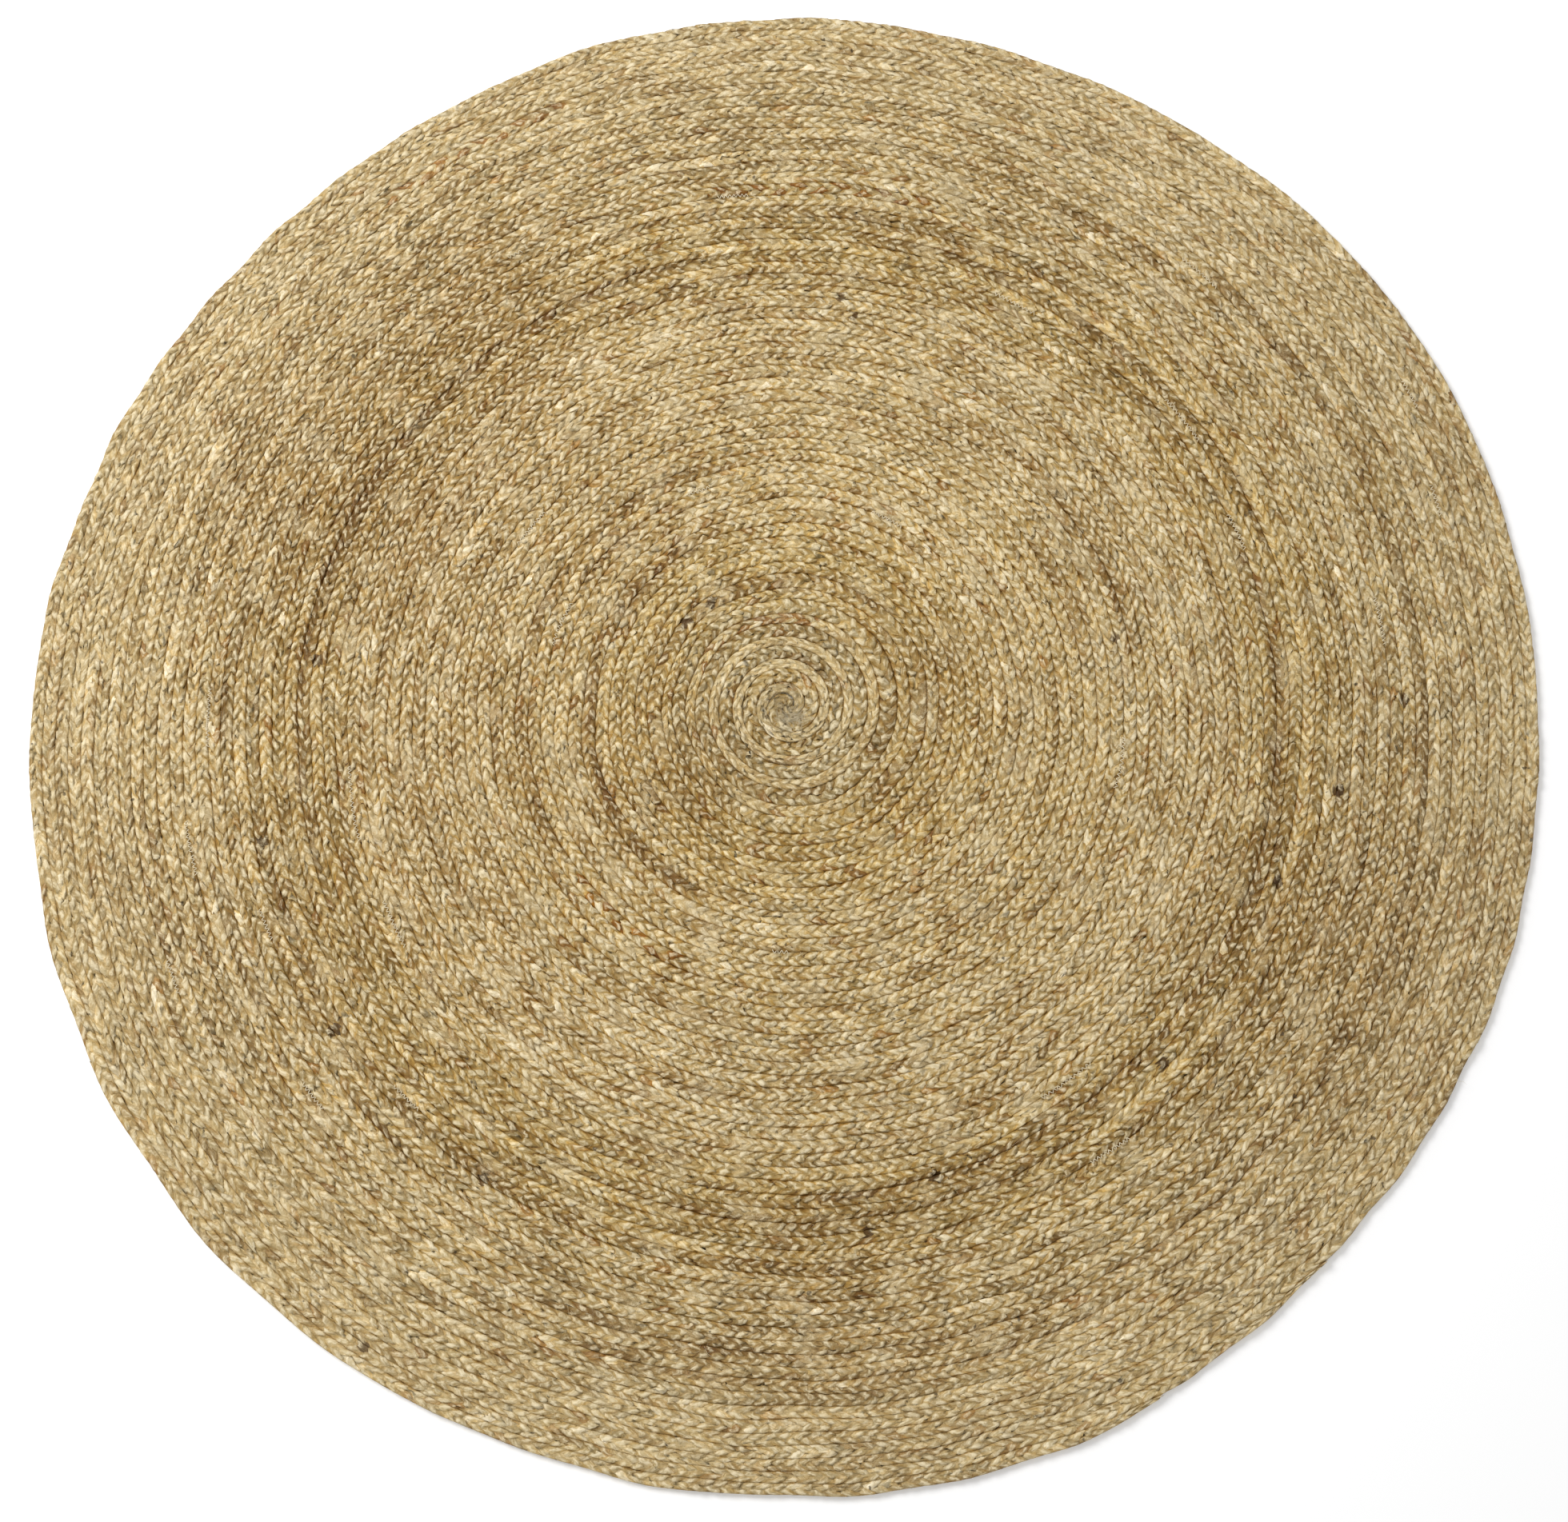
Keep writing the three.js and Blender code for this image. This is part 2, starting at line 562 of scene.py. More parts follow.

# Painted shade along the seams between plaits.
SEAM_SHADE_TINT = np.array((0.7, 0.57, 0.34))
SEAM_LEAST = 0.12
SEAM_RANGE = (0.0, 1.8)  # uneven tones between which a seam goes from faint to dark
SEAM_BANDS = ((0.02, 0.24), (0.76, 0.98))  # shares of the plait's width

# The turns that follow the first ones: the inner plait is straw and the outer one grey.
YOUNG_TURNS = ((0.5, 1.2), (2.2, 5.0))
YOUNG_STRAW = (0.4, -0.35)
YOUNG_GREY = (-0.3, 0.75)
YOUNG_TONE = (0.13, -0.1)

# Further out runs a belt of turns with darker inner plaits.
BELT_TURNS = ((16.0, 18.0), (25.5, 27.0))
BELT_TONE = ((-0.08, -0.22), (0.07, 0.07))  # by plait and column

# Tone of the jute from the middle outwards: radius in mm, lightness and warmth.
RINGS = (
    (0, 0.9, 0.2),
    (80, 0.88, 0.4),
    (125, 0.84, 0.9),
    (175, 0.9, 0.9),
    (212, 1.03, 0.2),
    (280, 0.97, 0.3),
    (350, 1.0, 0.0),
    (435, 1.03, 0.0),
    (465, 0.87, 0.7),
    (520, 0.87, 0.7),
    (565, 0.96, 0.0),
    (650, 0.97, 0.0),
)

# Darker and lighter lengths of a row: its radius where it crosses azimuth 0, the azimuths
# between which it shows, and how much darker (minus) or lighter it is.
SHADED_ARCS = (
    (628, 0, 35, -0.22),
    (628, 245, 290, -0.2),
    (603, 40, 65, -0.2),
    (603, 235, 360, -0.2),
    (525, 50, 90, -0.2),
    (525, 185, 265, -0.22),
    (508, 292, 319, -0.2),
    (504, 16, 70, -0.22),
    (480, 0, 35, -0.2),
    (480, 95, 185, -0.34),
    (480, 245, 290, -0.22),
    (460, 265, 360, -0.34),
    (460, 60, 95, -0.2),
    (366, 220, 250, -0.2),
    (345, 0, 55, -0.2),
    (292, 0, 25, -0.2),
    (260, 104, 196, -0.2),
    (192, 104, 232, -0.34),
    (130, 40, 165, -0.22),
    (492, 290, 360, 0.16),
    (468, 65, 95, 0.16),
    (514, 16, 70, 0.16),
    (250, 0, 165, 0.14),
    (118, 30, 75, 0.16),
)
ARC_WIDTH = 6.5  # mm
ARC_ENDS = 6.0  # degrees over which an arc begins and ends

# Broad darker and lighter places, of which the widest darker one, left of the middle, is painted
# shade against the lamp's stronger light there: x and y of the middle, the spread in mm, and the
# change of tone.
TONE_AND_SHADE_PLACES = (
    (-420, 290, 90, -0.13),
    (-235, 470, 70, -0.12),
    (470, -320, 100, -0.12),
    (-122, -35, 45, -0.12),
    (150, 8, 45, -0.1),
    # painted shade, against the lamp's stronger light on the left
    (-430, -60, 170, -0.06),
    (-300, 330, 120, -0.04),
    (520, 300, 120, 0.04),
    (-60, -560, 90, -0.08),
    (470, 500, 90, 0.07),
    (-260, -250, 70, 0.05),
)

RUSTY_RADIUS = 260.0  # mm, more stitches are rusty inside it

# Single strands that are rusty for a length: plait, strand, first and last turn.
BROWN_LENGTHS = (
    (0, 0, 3.2, 3.34),
    (0, 1, 3.19, 3.3),
    (0, 2, 3.37, 3.44),
    (0, 1, 2.53, 2.575),
    (1, 1, 26.3, 26.35),
    (0, 0, 21.2, 21.27),
    (1, 2, 9.6, 9.68),
)

# Painted shadow: dark spots where holes between the strands lie in shade. x and y of the middle
# and the radius, in mm.
SHADOW_SPECKS = (
    (131, 399, 5),
    (119, 422, 5),
    (-66, 120, 6),
    (-93, 105, 6),
    (-491, -241, 6),
    (-367, -405, 6),
    (-585, -502, 6),
    (-499, -540, 5),
    (-15, -513, 5),
    (58, -472, 6),
    (293, -404, 6),
    (517, -170, 6),
    (602, -91, 6),
    (439, -250, 5),
    (330, 19, 5),
    (-539, -47, 5),
    (-463, 126, 6),
    (-27, -5, 3),
)

# Waves of tone along each strand and along each row or seam, with their phases.
STRAND_WAVES = np.random.default_rng(31).uniform((0.6, 0), (3.2, 360), (6, 4, 2))
STRAND_WAVE_SUM = 2.2
ROW_WAVES = np.random.default_rng(37).uniform((0, 0), (1, 360), (6, 14, 2))
ROW_LENGTHS = (45.0, 900.0)  # mm, the shortest and longest wave of a row


def strand_tone(side, strand, turns):
    """Slow change of tone along one strand, about -1 to 1."""
    total = np.zeros_like(turns)
    for wave in range(STRAND_WAVES.shape[1]):
        waves, phase = STRAND_WAVES[side * 3 + strand, wave].T
        total += np.sin(2 * math.pi * waves * turns + np.radians(phase))
    return total / STRAND_WAVE_SUM


def row_tone(row, turns):
    """Uneven tone of one row of stitches or one seam, about -1 to 1."""
    run = math.pi * FIRST_PITCH * np.square(turns)
    total = np.zeros_like(turns)
    shortest, longest = ROW_LENGTHS
    for share, phase in ROW_WAVES[row]:
        length = shortest * (longest / shortest) ** share
        total += np.sin(2 * math.pi * run / length + np.radians(phase))
    return total / math.sqrt(len(ROW_WAVES[row]) / 2)


def seam_shade(side, turns, across):
    """How far the painted shade of the seams darkens a plait towards its edges, 0 to 1. across is
    0 to 1.
    """
    inner = SEAM_LEAST + smoothstep(*SEAM_RANGE, row_tone(4 + (side == 0), turns))
    outer = SEAM_LEAST + smoothstep(*SEAM_RANGE, row_tone(4 + (side == 1), turns + side))
    near_inner, near_outer = (smoothstep(*band, across) for band in SEAM_BANDS)
    return (1 - near_inner) * inner + near_outer * outer


def turned_on(start, end, turns):
    """1 between two ranges of turns and 0 outside them."""
    return smoothstep(*start, turns) * (1 - smoothstep(*end, turns))


def blend(low, high, amount):
    amount = np.clip(amount, 0, 1)[:, None]
    return low * (1 - amount) + high * amount


def fibre_mix(side, hue, drift, young):
    """The mix of pale, middling and greyish jute in each stitch."""
    straw = 0.35 + 0.2 * drift + 0.2 * hue + YOUNG_STRAW[side] * young
    grey = 0.14 - 0.3 * hue - 0.1 * drift + YOUNG_GREY[side] * young
    plain = np.tile(TAN, (len(hue), 1))
    return blend(blend(plain, STRAW, straw), GREY, grey)


def shade_places(colour, tone, x, y):
    """Broad darker and lighter places; the widest darker one, left of the middle, is painted
    shade.
    """
    for middle_x, middle_y, spread, change in TONE_AND_SHADE_PLACES:
        distance = np.square(x - middle_x) + np.square(y - middle_y)
        near = np.exp(-distance / (2 * spread**2))
        tone = tone * (1 + change * near)
        colour = blend(colour, BROWN, np.maximum(0, -change) * 3.0 * near)
    return colour, tone


def shade_arcs(colour, tone, radius, azimuth, chance):
    """Darker and lighter lengths of single rows."""
    start_radius = radius - (FIRST_PITCH - 2) * azimuth / 360
    for middle, begin, end, change in SHADED_ARCS:
        window = smoothstep(begin - ARC_ENDS, begin, azimuth)
        window = window * (1 - smoothstep(end, end + ARC_ENDS, azimuth))
        near = np.exp(-np.square((start_radius - middle) / ARC_WIDTH)) * (0.3 + 1.4 * chance)
        tone = tone * (1 + change * near * window)
        colour = blend(colour, BROWN, np.maximum(0, -change) * 2.0 * near * window)
    return colour, tone


def stains_and_shadow_spots(colour, side, strand, turns, radius, chance, x, y):
    """Odd brown, rusty and pale stitches, dark spots of painted shadow over holes, and brown
    lengths of strand.
    """
    rust_from = np.where(radius < RUSTY_RADIUS, 0.984, 0.993)
    colour = blend(colour, BROWN, 0.7 * (chance > 0.965))
    colour = blend(colour, RUST, 0.45 * (chance > rust_from))
    colour = blend(colour, PALE_AND_HIGHLIGHT, 0.6 * (chance < 0.04))
    # painted shadow: dark spots that stand in for shaded holes
    for spot_x, spot_y, size in SHADOW_SPECKS:
        near = np.hypot(x - spot_x, y - spot_y) < size
        colour = blend(colour, HOLE_SHADOW, 0.9 * near)
    for where, which, begin, end in BROWN_LENGTHS:
        if where == side:
            chosen = (strand == which) & (turns > begin) & (turns < end)
            colour = blend(colour, RUST, 0.95 * chosen)
    return colour


def stitch_colours(side, kind, number, stitches, x, y):
    """Linear colour of each stitch, given by its plait, column, number and place."""
    turns = turns_at(side, stitches)
    azimuth = azimuth_at(turns) % 360
    radius = np.hypot(x, y)
    strand = (number + 2 * kind) % 3
    chance = LEAF_CHANCE[side, kind, number]
    drift = strand_tone(side, strand, turns)
    young = turned_on(*YOUNG_TURNS, turns)
    belt = turned_on(*BELT_TURNS, turns)
    row = np.where(kind == 0, row_tone(2 * side, turns), row_tone(2 * side + 1, turns))

    places, lightness, warmth = zip(*RINGS)
    colour = fibre_mix(side, LEAF_HUE[side, kind, number], drift, young)
    colour = colour * (1 + (WARM - 1) * np.interp(radius, places, warmth)[:, None])
    colour = blend(colour, BROWN, -0.22 * row)
    tone = np.interp(radius, places, lightness)
    tone = tone * (1 + 0.05 * drift + 0.105 * LEAF_TONE[side, kind, number])
    tone = tone * (1 + (0.09 + 0.04 * belt) * row)
    tone = tone * (1 + YOUNG_TONE[side] * young)
    tone = tone * (1 + belt * np.array(BELT_TONE[side])[kind])
    colour, tone = shade_places(colour, tone, x, y)
    colour, tone = shade_arcs(colour, tone, radius, azimuth, chance)
    colour = stains_and_shadow_spots(colour, side, strand, turns, radius, chance, x, y)
    return colour * np.power(np.clip(tone, *TONE_LIMITS)[:, None], TONE_POWERS)


# ---- from numbers to a mesh ----

STRAND_STEP = 2.6  # mm along a strand from one row of points to the next
STRAND_ACROSS = 0.91  # sine and cosine of the angle between the grid's two directions
STRAND_SLANT = 0.41
FIBRE_FAN = 0.06  # how much the fibres of a stitch spread
PATCH_REACH = 900.0  # mm of fibre pattern from which the stitches take theirs
BAKE_MARGIN = 0.7  # stitches left free at the ends of a strip


def add_uv(mesh, name, coordinates):
    layer = mesh.uv_layers.new(name=name)
    layer.uv.foreach_set("vector", coordinates.astype(np.float32).ravel())


def sharpen_caps(mesh, corner_count):
    """The edges round a cap are sharp, so that neighbouring lengths shade as one."""
    edges = np.empty(len(mesh.loops), dtype=np.int32)
    mesh.loops.foreach_get("edge_index", edges)
    sharp = np.zeros(len(mesh.edges), dtype=bool)
    sharp[edges[-corner_count:]] = True
    attribute = mesh.attributes.new("sharp_edge", "BOOLEAN", "EDGE")
    attribute.data.foreach_set("value", sharp)


def mesh_object(name, shells, material):
    """A piece from closed shells of triangles and their caps, and its corners' vertices."""
    mesh = bpy.data.meshes.new(name)
    points = np.concatenate([s["points"] for s in shells]) * MM
    offsets = np.concatenate(([0], np.cumsum([len(s["points"]) for s in shells])))
    triangles = np.concatenate([s["faces"] + o for s, o in zip(shells, offsets)])
    caps = [np.array(cap) + o for s, o in zip(shells, offsets) for cap in s["caps"]]
    corners = np.concatenate([triangles.ravel()] + caps).astype(np.int32)
    sizes = np.concatenate((np.full(len(triangles), 3), [len(cap) for cap in caps]))
    begins = np.concatenate(([0], np.cumsum(sizes)[:-1])).astype(np.int32)
    mesh.vertices.add(len(points))
    mesh.vertices.foreach_set("co", points.astype(np.float32).ravel())
    mesh.loops.add(len(corners))
    mesh.loops.foreach_set("vertex_index", corners)
    mesh.polygons.add(len(sizes))
    mesh.polygons.foreach_set("loop_start", begins)
    smooth = np.arange(len(sizes)) < len(triangles)
    mesh.polygons.foreach_set("use_smooth", smooth)
    mesh.update(calc_edges=True)
    if caps:
        sharpen_caps(mesh, sum(len(cap) for cap in caps))
    mesh.materials.append(material)
    obj = bpy.data.objects.new(name, mesh)
    bpy.context.scene.collection.objects.link(obj)
    return obj, corners


def paint_corners(mesh, colours):
    opaque = np.column_stack((colours, np.ones(len(colours))))
    attribute = mesh.color_attributes.new("Tint", "FLOAT_COLOR", "CORNER")
    attribute.data.foreach_set("color", opaque.astype(np.float32).ravel())


def mark_wear(mesh, values):
    attribute = mesh.attributes.new("Worn", "FLOAT", "POINT")
    attribute.data.foreach_set("value", values.astype(np.float32))


def face_values(shell):
    """Colour, place on the strand and place on the stitch, for each corner of a shell."""
    side = shell["side"]
    faces = shell["faces"]
    along = shell["stitches"][faces]
    across = shell["across"][faces]
    centre_along = along.mean(1)
    centre_across = np.clip(across.mean(1), 0.001, 0.999)
    upper = (np.arange(len(faces)) < shell["top_count"])[:, None, None]
    lean = zigzag(side, centre_along)
    kind, number = leaf_of(lean, centre_along, centre_across)
    x, y = place(side, centre_along, centre_across)
    colours = stitch_colours(side, kind, number, centre_along, x, y)[:, None]
    # painted shade along the seams, on the upper face only
    shade = seam_shade(side, turns_at(side, along), across)[:, :, None]
    colours = colours * (1 + (SEAM_SHADE_TINT - 1) * np.where(upper, shade, 0))
    # painted light in the middle of a plait
    painted_middle_light = 1 - smoothstep(*MIDDLE_BAND, np.abs(across - 0.5))[:, :, None]
    colours = colours * (1 + MIDDLE_PAINTED_LIGHT * painted_middle_light)

    # steps along and across the stitch, which is 6 steps long and 3 wide on the grid of points
    down = 6 - 9 * np.where(kind[:, None] == 0, across, 1 - across)
    over = 6 * (along * lean[:, None] - (number * lean + 0.5 * kind)[:, None])
    forward, aside = (down + over) / 2, (down - over) / 2
    leaf_uv = np.stack((forward / 6, aside / 3), 2)
    # the strand runs on a slant to that grid, and each stitch shows fibre of its own
    fan = LEAF_HUE[side, kind, number][:, None] * FIBRE_FAN * forward
    beside = STRAND_STEP * (STRAND_ACROSS * aside + fan)
    fibre = STRAND_STEP * (forward - STRAND_SLANT * aside)
    patch = PATCH_REACH * LEAF_PATCH[side, kind, number]
    strand_uv = np.stack((fibre + patch[:, :1], beside + patch[:, 1:]), 2)
    return colours, strand_uv * MM, leaf_uv


def bake_layout(shells):
    """A second map: each strip is cut into lengths that lie under each other."""
    strips = []
    length = max(s["last"] - s["first"] for s in shells)
    parts = max(1, round(math.sqrt(length / (2 * len(shells)))))
    rows = 2 * len(shells) * parts + 1
    for number, shell in enumerate(shells):
        faces = shell["faces"]
        along = shell["stitches"][faces] - shell["first"]
        across = shell["across"][faces]
        under = (np.arange(len(faces)) >= shell["top_count"]).astype(int)
        step = (shell["last"] - shell["first"] + 0.5) / parts
        part = np.clip(np.floor(along.mean(1) / step), 0, parts - 1)
        row = (2 * number + under) * parts + part
        x = (along - part[:, None] * step + BAKE_MARGIN) / (step + 2 * BAKE_MARGIN)
        y = (row[:, None] + 0.06 + 0.88 * across) / rows
        strips.append(np.stack((x, y), 2))
    return strips, rows


def cap_layout(shells, rows):
    """The caps of the bake map share the last row."""
    count = sum(len(s["caps"]) for s in shells)
    places = []
    for number, (shell, cap) in enumerate((s, c) for s in shells for c in s["caps"]):
        across = shell["across"][cap]
        height = shell["points"][cap, 2] / THICKNESS
        x = (number + 0.1 + 0.8 * across) / count
        y = (rows - 1 + 0.1 + 0.75 * height) / rows
        places.append(np.stack((x, y), 1))
    return places


def place_in_frame(obj):
    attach(obj, BODY)
    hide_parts(NODE)


def make_turn(number, begins, ends, material):
    """One turn of the winding, both plaits, as one piece."""
    shells = [
        plait_shell(side, first, last)
        for side, (first, last) in enumerate(zip(begins, ends))
        if last > first
    ]
    obj, _ = mesh_object(f"plait_turn_{number:02d}", shells, material)
    mesh = obj.data

    colours, strands, leaves, cap_colours, cap_strands, cap_leaves = [], [], [], [], [], []
    for shell in shells:
        colour, strand, leaf = face_values(shell)
        colours.append(colour.reshape(-1, 3))
        strands.append(strand.reshape(-1, 2))
        leaves.append(leaf.reshape(-1, 2))
        for cap in shell["caps"]:
            cap_colours.append(np.tile(TAN * CAP_TONE, (len(cap), 1)))
            cap_strands.append(shell["points"][cap][:, [0, 2]] * MM)
            cap_leaves.append(np.full((len(cap), 2), 0.5))
    strips, rows = bake_layout(shells)
    bake = [strip.reshape(-1, 2) for strip in strips] + cap_layout(shells, rows)
    paint_corners(mesh, np.concatenate(colours + cap_colours))
    mark_wear(mesh, np.concatenate([s["worn"] for s in shells]))
    add_uv(mesh, "Strand", np.concatenate(strands + cap_strands))
    add_uv(mesh, "Leaf", np.concatenate(leaves + cap_leaves))
    add_uv(mesh, "OFBake", np.concatenate(bake))
    mesh.uv_layers["Strand"].active = True
    mesh.uv_layers["Strand"].active_render = True

    place_in_frame(obj)


def make_winding(material):
    """Every turn is a piece of its own, and the joins are spread round the rug."""
    places = [PLAIT_START[1]]
    turn = FIRST_CUT
    while turn < WINDING_END - 0.5:
        places.append(turn)
        turn += CUT_STEP
    places.append(WINDING_END)
    cuts = []
    for side in SIDES:
        limits = np.clip(places, PLAIT_START[side], PLAIT_END[side])
        stitches = np.round(stitches_at(side, limits)).astype(int)
        stitches[-1] = math.floor(stitches_at(side, PLAIT_END[side]) - 0.2)
        cuts.append(stitches)
    for number in range(1, len(places)):
        begins = [stitches[number - 1] for stitches in cuts]
        ends = [stitches[number] for stitches in cuts]
        make_turn(number, begins, ends, material)


# ---- loose fibres and sewing thread ----

HAIR_COUNT = 7000
HAIR_SECTIONS = 3
HAIR_SIDES = 3
HAIR_TAPER = 0.55  # share of the thickness lost towards the tip
TANGLE_SHARE = 0.035  # of the hairs, which lie near the middle
TANGLE_PLACE = (-12.0, 5.0)
TANGLE_SPREAD = 22.0  # mm
TUFT_COUNT = 200  # hairs of the pale tuft on the middle
TUFT_PLACE = (-3.0, -10.0)
TUFT_SIZE = (8.0, 3.4)

THREAD_STEP = 2.2  # mm along the seam from one side of the zigzag to the other
THREAD_REACH = 1.9  # mm to each side of the seam
THREAD_HEIGHT = 8.7  # mm, where it sinks in
THREAD_BOW = 0.75  # mm, how much higher it stands between
THREAD_THICKNESS = 0.34  # mm from its middle to its edge
SEEN_STITCHING = (  # turns where the zigzag shows, its length in mm, and whether the seam is
    (16.515, 75, 1),  # the one between a pair's plaits (1) or the one between pairs (0)
    (23.533, 22, 0),
    (22.497, 34, 0),
    (16.565, 55, 1),
    (18.158, 50, 1),
)
MORE_STITCHING = 22  # places chosen at random


def finish_loose(obj, corners, colours):
    """What thread and hairs need for the jute material, and their place in the frame."""
    mesh = obj.data
    points = np.empty(len(mesh.vertices) * 3, dtype=np.float32)
    mesh.vertices.foreach_get("co", points)
    paint_corners(mesh, colours)
    mark_wear(mesh, np.zeros(len(mesh.vertices)))
    add_uv(mesh, "Strand", points.reshape(-1, 3)[corners][:, :2])
    add_uv(mesh, "Leaf", np.full((len(corners), 2), 0.5))
    place_in_frame(obj)


def hair_points(start, heading, bend, length, rise, thickness):
    """Points of every hair: a three-sided ring for each section, and the tip."""
    shares = np.linspace(0, 1, HAIR_SECTIONS + 1)
    spot = start
    points = []
    for share in shares[:-1]:
        turned = heading + bend * share
        forward = np.stack((np.cos(turned), np.sin(turned), np.zeros_like(turned)), 1)
        across = forward[:, [1, 0, 2]] * (-1, 1, 1)
        girth = (thickness * (1 - HAIR_TAPER * share))[:, None]
        for side in range(HAIR_SIDES):
            angle = math.radians(90 + 360 / HAIR_SIDES * side)
            up = np.array((0.0, 0.0, math.sin(angle)))
            points.append(spot + girth * (across * math.cos(angle) + up))
        step = forward * (length / HAIR_SECTIONS)[:, None]
        step[:, 2] = rise * (1 - 1.5 * share)
        spot = spot + step
    return np.stack(points + [spot], 1)


def hair_faces():
    """Triangles of one hair, which is closed at its root and runs out in a tip."""
    corners = [(side, (side + 1) % HAIR_SIDES) for side in range(HAIR_SIDES)]
    faces = [(0, 1, 2)]
    for ring in range(0, HAIR_SIDES * (HAIR_SECTIONS - 1), HAIR_SIDES):
        for a, b in corners:
            low, high = ring + a, ring + b
            faces.append((low, low + HAIR_SIDES, high))
            faces.append((high, low + HAIR_SIDES, high + HAIR_SIDES))
    last = HAIR_SIDES * (HAIR_SECTIONS - 1)
    tip = HAIR_SIDES * HAIR_SECTIONS
    return np.array(faces + [(last + a, tip, last + b) for a, b in corners])


def make_fibres(material):
    """Short hairs that have worked loose and lie over the plaits."""
    rng = np.random.default_rng(77)
    count = HAIR_COUNT
    azimuth = rng.uniform(0, 2 * math.pi, count)
    radius = np.sqrt(rng.uniform(0, 1, count)) * (INNER_RIM - 6)
    near = rng.uniform(0, 1, count) < TANGLE_SHARE
    radius = np.where(near, np.abs(rng.normal(0, TANGLE_SPREAD, count)), radius)
    x = radius * np.cos(azimuth) + near * TANGLE_PLACE[0]
    y = radius * np.sin(azimuth) + near * TANGLE_PLACE[1]
    tuft = np.arange(count) < TUFT_COUNT
    x = np.where(tuft, TUFT_PLACE[0] + rng.normal(0, TUFT_SIZE[0], count), x)
    y = np.where(tuft, TUFT_PLACE[1] + rng.normal(0, TUFT_SIZE[1], count), y)
    length = rng.gamma(3.0, 3.2, count).clip(3, 26)
    heading = azimuth + math.pi / 2 + rng.normal(0, 0.7, count)
    bend = rng.normal(0, 1.1, count)
    rise = rng.uniform(0.1, 1.3, count)
    root = THICKNESS - rng.uniform(0.3, 2.2, count) * np.where(near | tuft, 0.3, 1)
    thickness = rng.uniform(0.1, 0.2, count)
    paleness = rng.uniform(0, 1, count)

    points = hair_points(np.stack((x, y, root), 1), heading, bend, length, rise, thickness)
    one_hair = hair_faces()
    starts = np.arange(count) * points.shape[1]
    faces = (one_hair[None] + starts[:, None, None]).reshape(-1, 3)
    shell = {"points": points.reshape(-1, 3), "faces": faces, "caps": []}
    obj, corners = mesh_object("loose_fibres", [shell], material)
    colours = blend(np.tile(STRAW * 0.95, (count, 1)), PALE_AND_HIGHLIGHT, paleness)
    colours = np.where(near[:, None], STRAW, colours)
    colours = np.where(tuft[:, None], THREAD, colours)
    finish_loose(obj, corners, np.repeat(colours, one_hair.size, axis=0))


def seam_points(turns, length, between):
    """The zigzag over a seam, point by point, in mm."""
    first = stitches_at(0, turns)
    x, y = place(0, np.array([first]), np.array([float(between)]))
    count = int(length / THREAD_STEP)
    step = THREAD_STEP / float(stitch_length(math.hypot(float(x[0]), float(y[0]))))
    x, y = place(0, first + step * np.arange(count), np.full(count, float(between)))
    swing = 1 + THREAD_REACH * np.where(np.arange(count) % 2, 1, -1) / np.hypot(x, y)
    return np.column_stack((x * swing, y * swing, np.full(count, THREAD_HEIGHT)))


def thread_bit(start, stop):
    """One closed bit of thread, bowed up over the seam."""
    middle = (start + stop) / 2 + np.array((0, 0, THREAD_BOW))
    along = (stop - start) / np.linalg.norm(stop - start)
    across = np.array((-along[1], along[0], 0)) * THREAD_THICKNESS
    up = np.array((0, 0, THREAD_THICKNESS))
    points, faces = [], []
    for spot in (start, middle, stop):
        points += [spot + across, spot + up, spot - across, spot - up]
    for ring in (0, 4):
        for corner in range(4):
            a, b = ring + corner, ring + (corner + 1) % 4
            faces += [(a, a + 4, b), (b, a + 4, b + 4)]
    faces += [(0, 1, 2), (0, 2, 3), (8, 10, 9), (8, 11, 10)]
    return {"points": np.array(points), "faces": np.array(faces), "caps": []}


def make_thread(material):
    """The sewing thread, where it hasn't sunk into the jute."""
    rng = np.random.default_rng(19)
    stretches = list(SEEN_STITCHING)
    for _ in range(MORE_STITCHING):
        turn = 2 + 26 * math.sqrt(rng.uniform(0.02, 1))
        stretches.append((turn, rng.uniform(14, 60), int(rng.integers(0, 2))))
    shells = []
    for turns, length, between in stretches:
        ends = seam_points(turns, length, between)
        shells += [thread_bit(start, stop) for start, stop in zip(ends[:-1], ends[1:])]
    obj, corners = mesh_object("sewing_thread", shells, material)
    finish_loose(obj, corners, np.tile(THREAD, (len(corners), 1)))


# ---- material ----

MIX_COLOUR_SOCKETS = (0, 6, 7)  # factor and two colours of a Mix node that is set to colours
MIX_COLOUR_RESULT = 2


